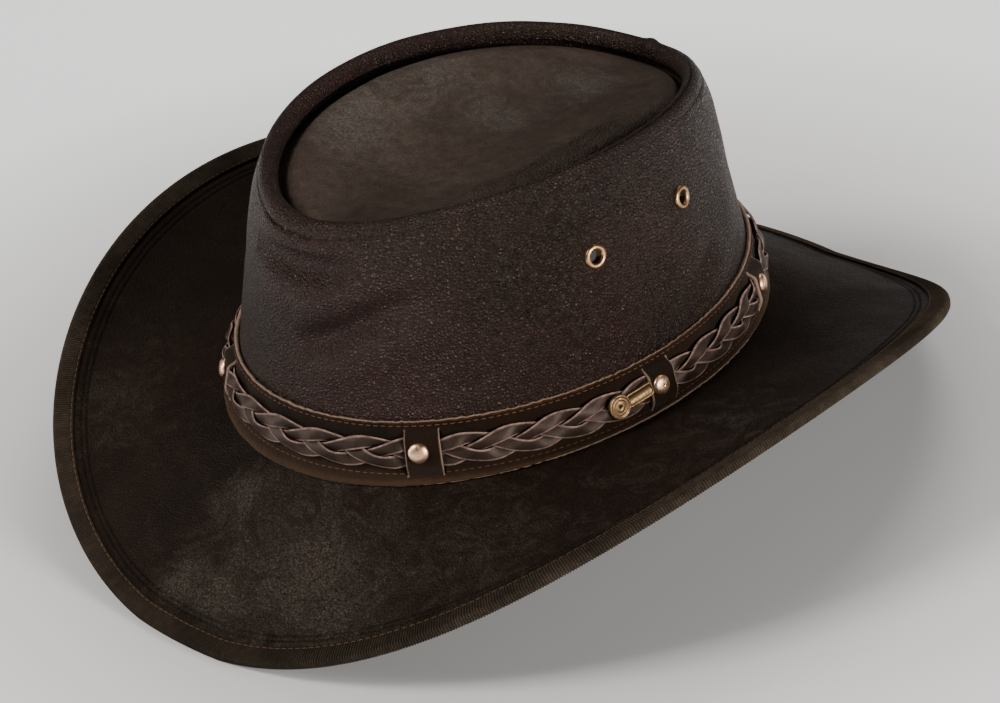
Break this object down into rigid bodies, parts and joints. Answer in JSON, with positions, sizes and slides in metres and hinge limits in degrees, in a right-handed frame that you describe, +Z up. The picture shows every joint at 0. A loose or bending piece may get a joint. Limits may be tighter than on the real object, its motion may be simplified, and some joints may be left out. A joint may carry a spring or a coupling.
{
  "type": "bush hat",
  "caption": "Dark leather bush hat with a rolled, recessed oval crown, a saddle brim with bound edge, and a suede hatband holding a plaited leather strap with rivets.",
  "frame": {"origin": "on the surface that the hat rests on, under the middle of the brim", "axes": "+Z up, -Y the front of the hat, +X the wearer's left"},
  "size_m": [0.304, 0.329, 0.1318],
  "materials": {
    "crown_leather": "pebbled, lightly polished",
    "top_leather": "smooth, matt",
    "brim_leather": "oiled, distressed",
    "binding_leather": "ribbed, matt",
    "band_leather": "suede, frayed edges",
    "strap_leather": "oiled, pale cut edges",
    "stud_metal": "copper, satin",
    "eyelet_metal": "antique",
    "pin_metal": "antique, plain"
  },
  "bodies": {
    "root": {"crown_wall": "crown_leather", "crown_top": "top_leather", "brim": "brim_leather", "edge_binding": "binding_leather", "hatband": "band_leather", "braid_strap_1": "strap_leather", "braid_strap_2": "strap_leather", "braid_strap_3": "strap_leather", "stud_left_1": "stud_metal", "stud_left_2": "stud_metal", "stud_left_3": "stud_metal", "stud_right_1": "stud_metal", "stud_right_2": "stud_metal", "stud_right_3": "stud_metal", "eyelet_left_1": "eyelet_metal", "eyelet_left_2": "eyelet_metal", "eyelet_right_1": "eyelet_metal", "eyelet_right_2": "eyelet_metal", "hat_pin": "pin_metal"}
  },
  "joints": []
}
